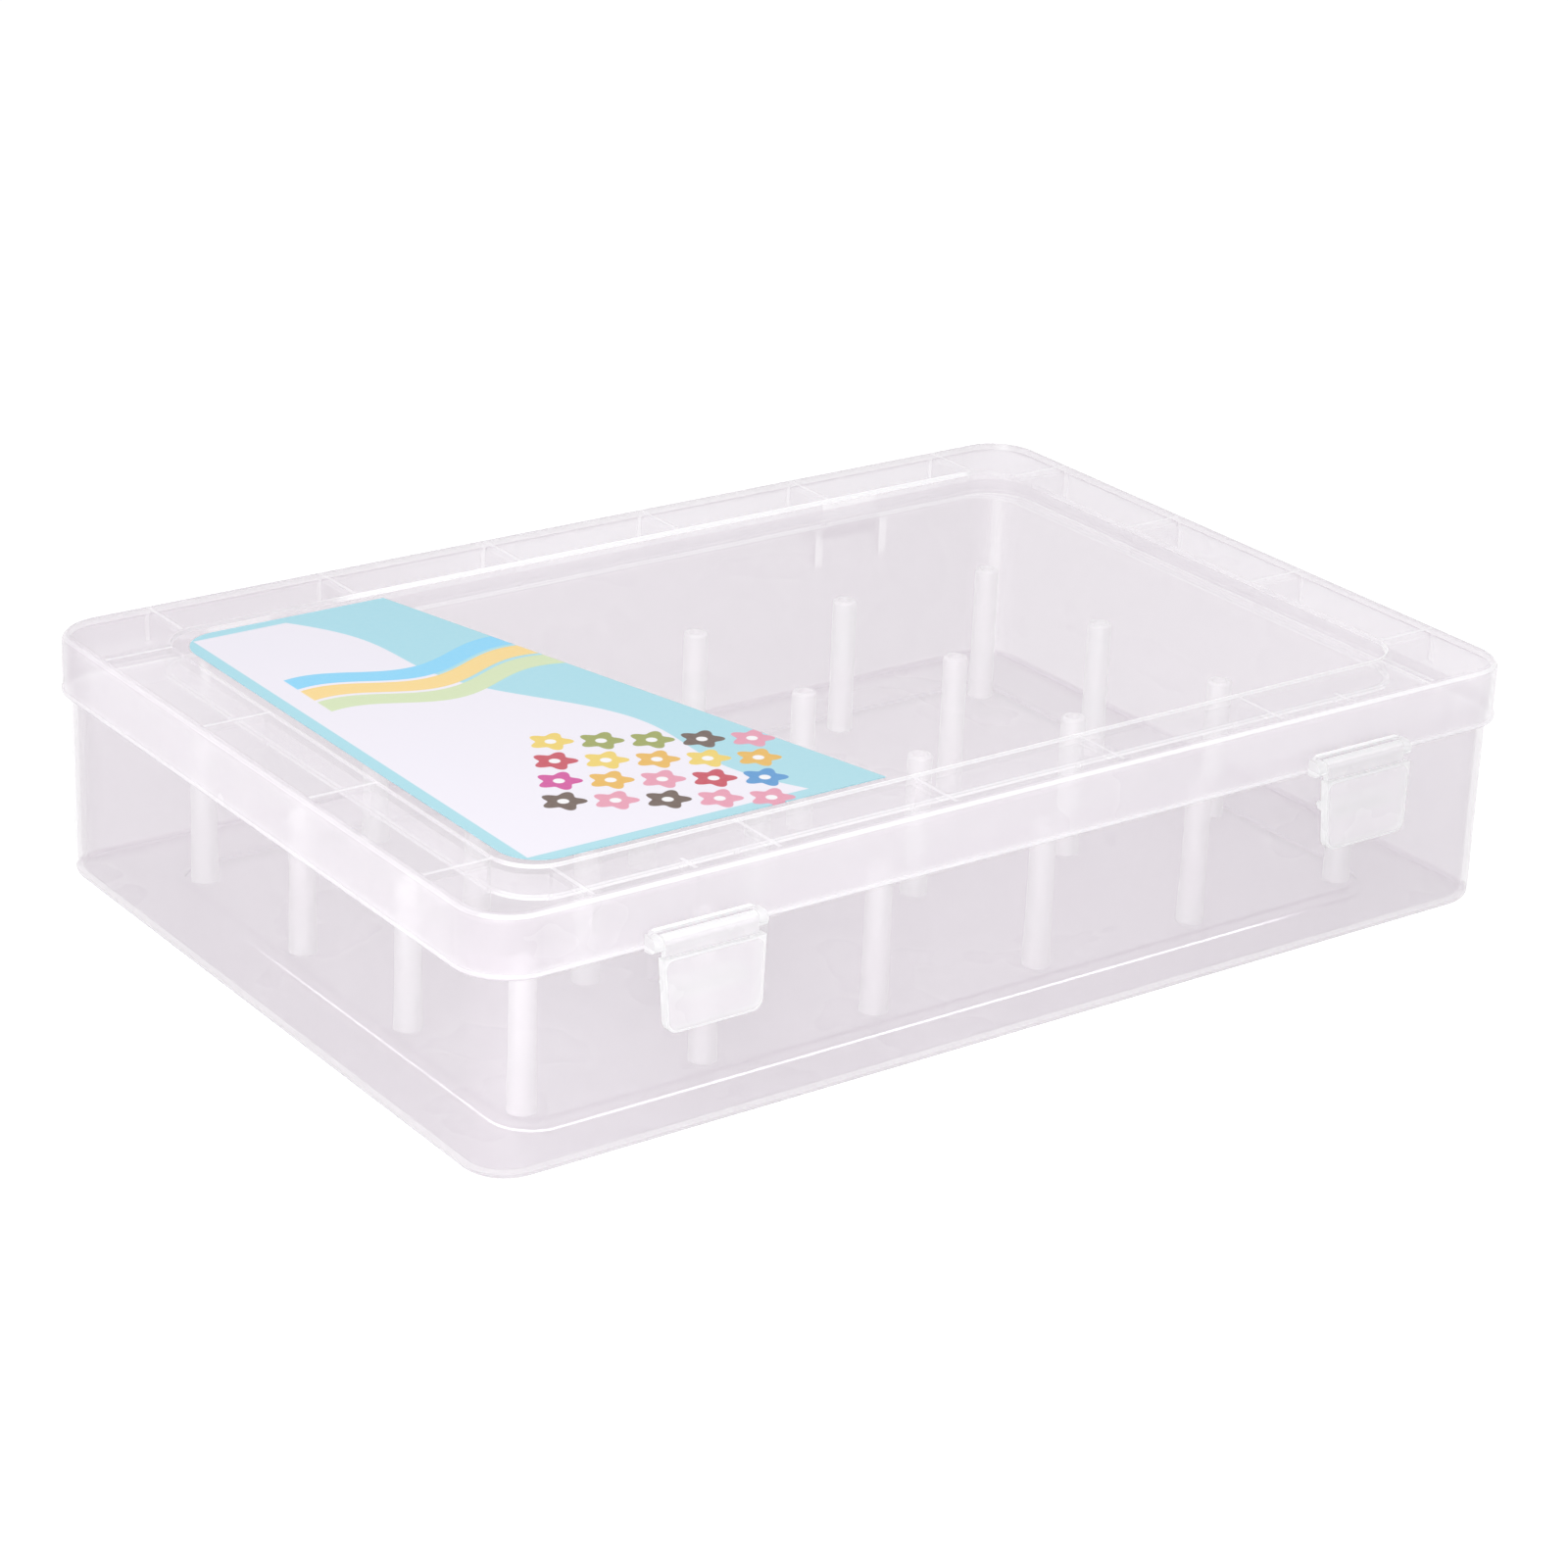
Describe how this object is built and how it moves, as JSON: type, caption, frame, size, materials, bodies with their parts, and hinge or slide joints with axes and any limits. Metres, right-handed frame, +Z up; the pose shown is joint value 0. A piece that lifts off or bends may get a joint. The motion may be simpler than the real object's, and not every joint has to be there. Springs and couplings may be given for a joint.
{
  "type": "embroidery thread box",
  "caption": "Shallow rectangular translucent plastic box with a grid of upright spool pegs, a hinged lid with a sunken ribbed panel, a slant-edged label and snap latches on the front.",
  "frame": {"origin": "on the table under the middle of the closed box", "axes": "+X along the box, +Y to the back where the hinges are, +Z up; the latches are at -Y"},
  "size_m": [0.2614, 0.1898, 0.0565],
  "materials": {
    "clear_plastic": "translucent polypropylene, smooth, faintly mauve",
    "milky_plastic": "milky polypropylene, smooth",
    "label": "printed film, satin"
  },
  "bodies": {
    "box": {"tray": "clear_plastic", "spool_peg_01": "milky_plastic", "spool_peg_02": "milky_plastic", "spool_peg_03": "milky_plastic", "spool_peg_04": "milky_plastic", "spool_peg_05": "milky_plastic", "spool_peg_06": "milky_plastic", "spool_peg_07": "milky_plastic", "spool_peg_08": "milky_plastic", "spool_peg_09": "milky_plastic", "spool_peg_10": "milky_plastic", "spool_peg_11": "milky_plastic", "spool_peg_12": "milky_plastic", "spool_peg_13": "milky_plastic", "spool_peg_14": "milky_plastic", "spool_peg_15": "milky_plastic", "spool_peg_16": "milky_plastic", "spool_peg_17": "milky_plastic", "spool_peg_18": "milky_plastic", "spool_peg_19": "milky_plastic", "spool_peg_20": "milky_plastic", "spool_peg_21": "milky_plastic", "spool_peg_22": "milky_plastic", "spool_peg_23": "milky_plastic", "spool_peg_24": "milky_plastic"},
    "cover": {"lid": "clear_plastic", "label_sheet": "label"},
    "left_latch": {"latch_left": "milky_plastic"},
    "right_latch": {"latch_right": "milky_plastic"}
  },
  "joints": [
    {"name": "lid_hinge", "type": "hinge", "parent": "box", "child": "cover", "pos_m": [0, 0.09211, 0.03989], "axis": [-1, 0, 0], "range_deg": [0, 180]},
    {"name": "latch_left_hinge", "type": "hinge", "parent": "cover", "child": "left_latch", "pos_m": [-0.08305, -0.0914, 0.0451], "axis": [-1, 0, 0], "range_deg": [0, 120]},
    {"name": "latch_right_hinge", "type": "hinge", "parent": "cover", "child": "right_latch", "pos_m": [0.08305, -0.0914, 0.0451], "axis": [-1, 0, 0], "range_deg": [0, 120]}
  ]
}
